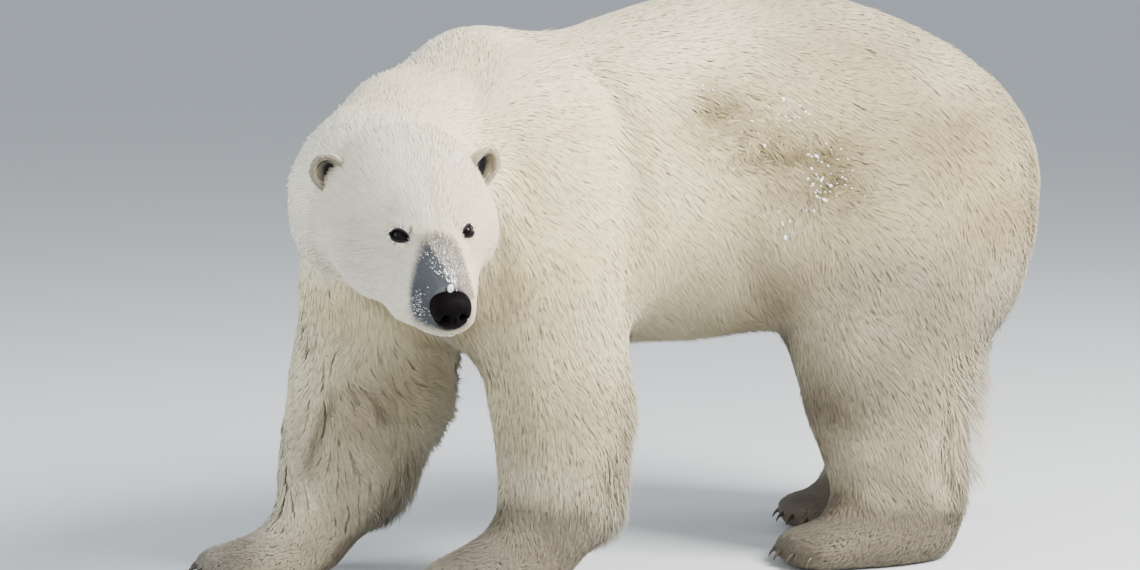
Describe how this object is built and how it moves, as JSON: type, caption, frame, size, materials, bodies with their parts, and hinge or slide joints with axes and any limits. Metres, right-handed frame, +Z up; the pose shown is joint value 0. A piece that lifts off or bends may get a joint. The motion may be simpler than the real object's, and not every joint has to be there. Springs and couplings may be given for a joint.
{
  "type": "polar bear",
  "caption": "Life-size polar bear, a still standing model: thick cream coat, head turned to its left, paws flat on the floor.",
  "frame": {"origin": "middle of the whole model's box, on the floor between the paws", "axes": "+Z up from the floor, -Y the way the body faces, +Y towards the tail, +X the animal's left side, to which the head is turned"},
  "size_m": [1.0606, 2.121, 1.3674],
  "materials": {
    "coat": "dense cream-white fur, damp and clumped on the flank",
    "face_coat": "short close white fur",
    "leg_coat": "beige-white fur, longer at the back of the legs",
    "ear_coat": "short fur, dark grey inside the cup",
    "nose_skin": "moist pebbled black skin",
    "eye": "wet gloss, near black",
    "claw": "worn black horn"
  },
  "bodies": {
    "root": {"trunk": "coat", "tail": "coat", "neck": "coat", "head": "face_coat", "nose": "nose_skin", "eye_left": "eye", "eye_right": "eye", "ear_left": "ear_coat", "ear_right": "ear_coat", "fore_left_upper": "coat", "fore_left_lower": "leg_coat", "fore_left_paw": "leg_coat", "fore_left_claw_1": "claw", "fore_left_claw_2": "claw", "fore_left_claw_3": "claw", "fore_left_claw_4": "claw", "fore_left_claw_5": "claw", "fore_right_upper": "coat", "fore_right_lower": "leg_coat", "fore_right_paw": "leg_coat", "fore_right_claw_1": "claw", "fore_right_claw_2": "claw", "fore_right_claw_3": "claw", "fore_right_claw_4": "claw", "fore_right_claw_5": "claw", "hind_left_upper": "coat", "hind_left_lower": "leg_coat", "hind_left_paw": "leg_coat", "hind_left_claw_1": "claw", "hind_left_claw_2": "claw", "hind_left_claw_3": "claw", "hind_left_claw_4": "claw", "hind_left_claw_5": "claw", "hind_right_upper": "coat", "hind_right_lower": "leg_coat", "hind_right_paw": "leg_coat", "hind_right_claw_1": "claw", "hind_right_claw_2": "claw", "hind_right_claw_3": "claw", "hind_right_claw_4": "claw", "hind_right_claw_5": "claw"}
  },
  "joints": []
}
